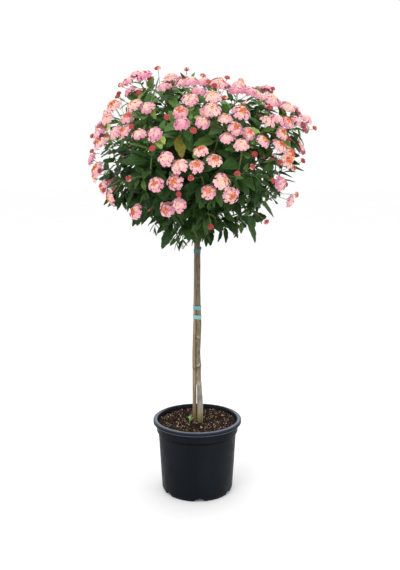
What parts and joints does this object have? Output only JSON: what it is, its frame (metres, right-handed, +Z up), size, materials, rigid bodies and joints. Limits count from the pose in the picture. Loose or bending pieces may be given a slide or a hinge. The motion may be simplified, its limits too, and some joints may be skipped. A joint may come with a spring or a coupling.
{
  "type": "potted standard lantana",
  "caption": "Tree-form lantana with a round head of pink and cream bloom clusters on a caned bare trunk, in a round black nursery pot.",
  "frame": {"origin": "middle of the pot's underside, on the ground", "axes": "+Z up along the trunk, -Y towards the front, +X to the right seen from the front"},
  "size_m": [0.5757, 0.5905, 1.1241],
  "materials": {
    "pot": "satin black moulded plastic",
    "soil": "loose dark potting mix with bark and white grit",
    "cane": "dry tan wood",
    "bark": "grey-brown bark, greener towards the head",
    "tie": "stretched teal tape",
    "leaf": "semi-matt, wrinkled, dark green",
    "bloom": "soft matt petals, pink round a cream and orange eye",
    "bud": "matt coral"
  },
  "bodies": {
    "root": {"pot": "pot", "soil": "soil", "cane": "cane", "trunk": "bark", "tie_lower": "tie", "tie_middle": "tie", "tie_upper": "tie", "basal_sprout": "leaf", "flowering_shoot_01": "leaf", "flowering_shoot_02": "leaf", "flowering_shoot_03": "leaf", "flowering_shoot_04": "leaf", "flowering_shoot_05": "leaf", "flowering_shoot_06": "leaf", "flowering_shoot_07": "leaf", "flowering_shoot_08": "leaf", "flowering_shoot_09": "leaf", "flowering_shoot_10": "leaf", "flowering_shoot_11": "leaf", "flowering_shoot_12": "leaf", "flowering_shoot_13": "leaf", "flowering_shoot_14": "leaf", "flowering_shoot_15": "leaf", "flowering_shoot_16": "leaf", "flowering_shoot_17": "leaf", "flowering_shoot_18": "leaf", "flowering_shoot_19": "leaf", "flowering_shoot_20": "leaf", "flowering_shoot_21": "leaf", "flowering_shoot_22": "leaf", "flowering_shoot_23": "leaf", "flowering_shoot_24": "leaf", "flowering_shoot_25": "leaf", "flowering_shoot_26": "leaf", "flowering_shoot_27": "leaf", "flowering_shoot_28": "leaf", "flowering_shoot_29": "leaf", "flowering_shoot_30": "leaf", "flowering_shoot_31": "leaf", "flowering_shoot_32": "leaf", "flowering_shoot_33": "leaf", "flowering_shoot_34": "leaf", "flowering_shoot_35": "leaf", "flowering_shoot_36": "leaf", "flowering_shoot_37": "leaf", "flowering_shoot_38": "leaf", "flowering_shoot_39": "leaf", "flowering_shoot_40": "leaf", "flowering_shoot_41": "leaf", "flowering_shoot_42": "leaf", "flowering_shoot_43": "leaf", "flowering_shoot_44": "leaf", "flowering_shoot_45": "leaf", "flowering_shoot_46": "leaf", "flowering_shoot_47": "leaf", "flowering_shoot_48": "leaf", "flowering_shoot_49": "leaf", "flowering_shoot_50": "leaf", "flowering_shoot_51": "leaf", "flowering_shoot_52": "leaf"}
  },
  "joints": []
}
